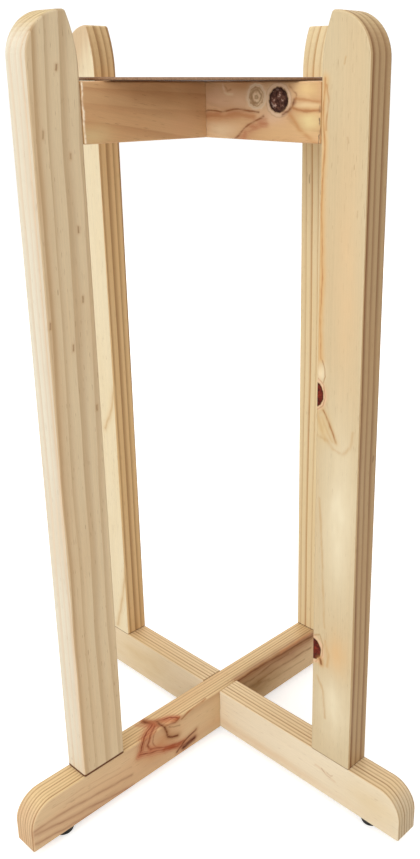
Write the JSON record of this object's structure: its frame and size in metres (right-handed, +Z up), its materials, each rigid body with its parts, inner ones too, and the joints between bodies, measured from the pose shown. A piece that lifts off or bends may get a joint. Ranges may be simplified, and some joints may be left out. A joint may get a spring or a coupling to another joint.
{
  "type": "wooden water crock floor stand",
  "caption": "Tall open floor stand of pine timber: crossed base beams on rubber feet carry upright legs with rounded tops, joined by crossed rails under a round seat board for a water crock.",
  "frame": {"origin": "on the floor, under the middle of the stand", "axes": "+Z up; one base beam and one rail run along X, the others along Y; the front is the -Y side"},
  "size_m": [0.472, 0.472, 0.686],
  "materials": {
    "leg_pine": "satin lacquered pale pine",
    "base_pine": "satin lacquered pine",
    "rail_pine": "satin lacquered golden pine",
    "hardboard": "smooth brown hardboard",
    "dowel_beech": "plain beech",
    "foot_rubber": "matte black rubber",
    "zinc_steel": "bright zinc plate",
    "yellow_zinc_steel": "yellow zinc plate"
  },
  "bodies": {
    "root": {"base_beam_front_back": "base_pine", "base_beam_left_right": "base_pine", "crossing_screw_base": "zinc_steel", "crossing_screw_top": "zinc_steel", "foot_screw_back": "zinc_steel", "foot_screw_front": "zinc_steel", "foot_screw_left": "zinc_steel", "foot_screw_right": "zinc_steel", "leg_back": "leg_pine", "leg_front": "leg_pine", "leg_left": "leg_pine", "leg_right": "leg_pine", "leg_screw_back": "zinc_steel", "leg_screw_front": "zinc_steel", "leg_screw_left": "zinc_steel", "leg_screw_right": "zinc_steel", "rail_dowel_back_lower": "dowel_beech", "rail_dowel_back_upper": "dowel_beech", "rail_dowel_front_lower": "dowel_beech", "rail_dowel_front_upper": "dowel_beech", "rail_dowel_left_lower": "dowel_beech", "rail_dowel_left_upper": "dowel_beech", "rail_dowel_right_lower": "dowel_beech", "rail_dowel_right_upper": "dowel_beech", "rubber_foot_back": "foot_rubber", "rubber_foot_front": "foot_rubber", "rubber_foot_left": "foot_rubber", "rubber_foot_right": "foot_rubber", "seat_board": "hardboard", "seat_screw_back": "yellow_zinc_steel", "seat_screw_front": "yellow_zinc_steel", "seat_screw_left": "yellow_zinc_steel", "seat_screw_right": "yellow_zinc_steel", "top_rail_front_back": "rail_pine", "top_rail_left_right": "rail_pine"}
  },
  "joints": []
}
